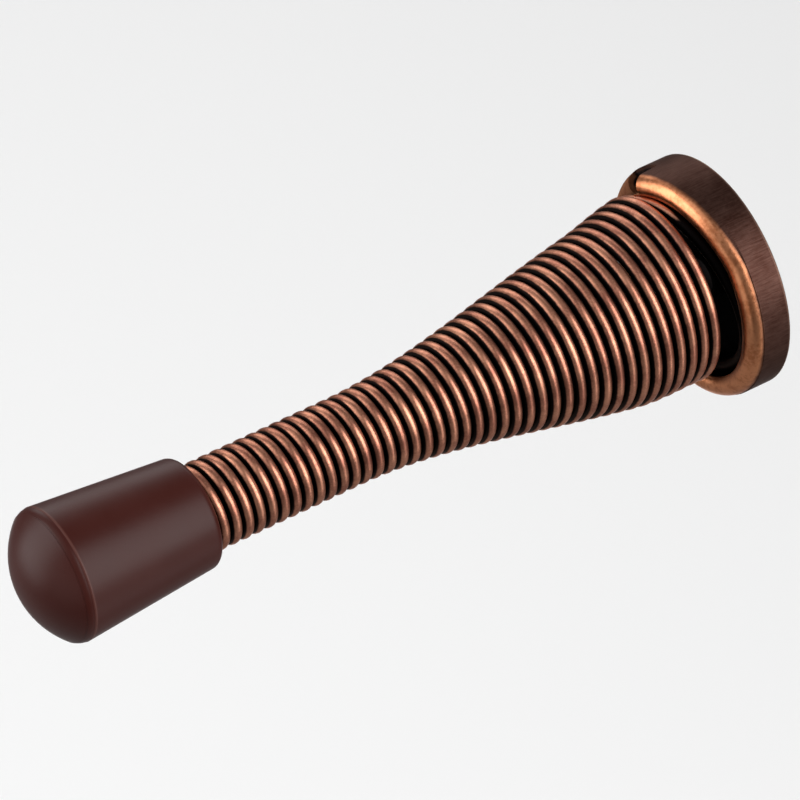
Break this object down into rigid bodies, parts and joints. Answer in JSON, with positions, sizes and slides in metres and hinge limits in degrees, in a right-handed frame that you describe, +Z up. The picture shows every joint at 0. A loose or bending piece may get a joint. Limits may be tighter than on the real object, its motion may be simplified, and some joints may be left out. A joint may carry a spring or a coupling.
{
  "type": "spring door stop",
  "caption": "Wall-mounted door stop: a flared close-wound coil spring held in a round base cup, with a rubber bumper tip on its narrow end.",
  "frame": {"origin": "centre of the screw hole at the back face of the base cup, on the wall", "axes": "+Y into the wall, +Z up; the stop reaches out from the wall along -Y"},
  "size_m": [0.024, 0.0792, 0.024],
  "materials": {
    "cup_metal": "drawn steel with an antique copper plate, dark on the wall and buffed on the rim",
    "spring_wire": "steel wire with an antique copper plate, black between the turns and buffed on the crests",
    "tip_rubber": "moulded brown rubber, satin"
  },
  "bodies": {
    "root": {"base_cup": "cup_metal", "coil_spring": "spring_wire", "bumper_tip": "tip_rubber"}
  },
  "joints": []
}
